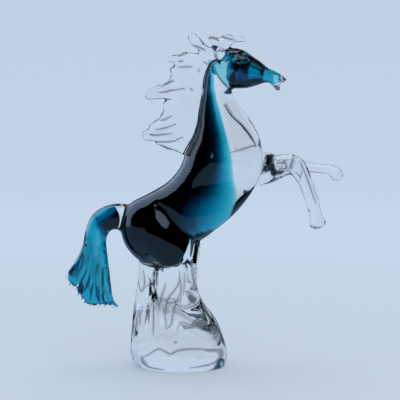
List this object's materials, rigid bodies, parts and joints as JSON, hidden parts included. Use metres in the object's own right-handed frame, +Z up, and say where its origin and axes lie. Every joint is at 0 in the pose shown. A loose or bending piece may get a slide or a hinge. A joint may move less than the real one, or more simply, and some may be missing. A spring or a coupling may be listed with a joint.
{
  "type": "crystal horse figurine",
  "caption": "Rearing horse of hot-worked solid glass with a drawn-out mane, flared tail and folded forelegs, standing on its own heavy rounded clear foot",
  "frame": {"origin": "on the flat underside of the foot, near its middle, where the figurine stands", "axes": "+X the way the horse faces, +Y to the horse's left, +Z up"},
  "size_m": [0.2763, 0.0677, 0.336],
  "materials": {
    "clear_glass": "fire-polished clear glass with a teal to blue-black core sealed inside"
  },
  "bodies": {
    "root": {"glass_horse": "clear_glass"}
  },
  "joints": []
}
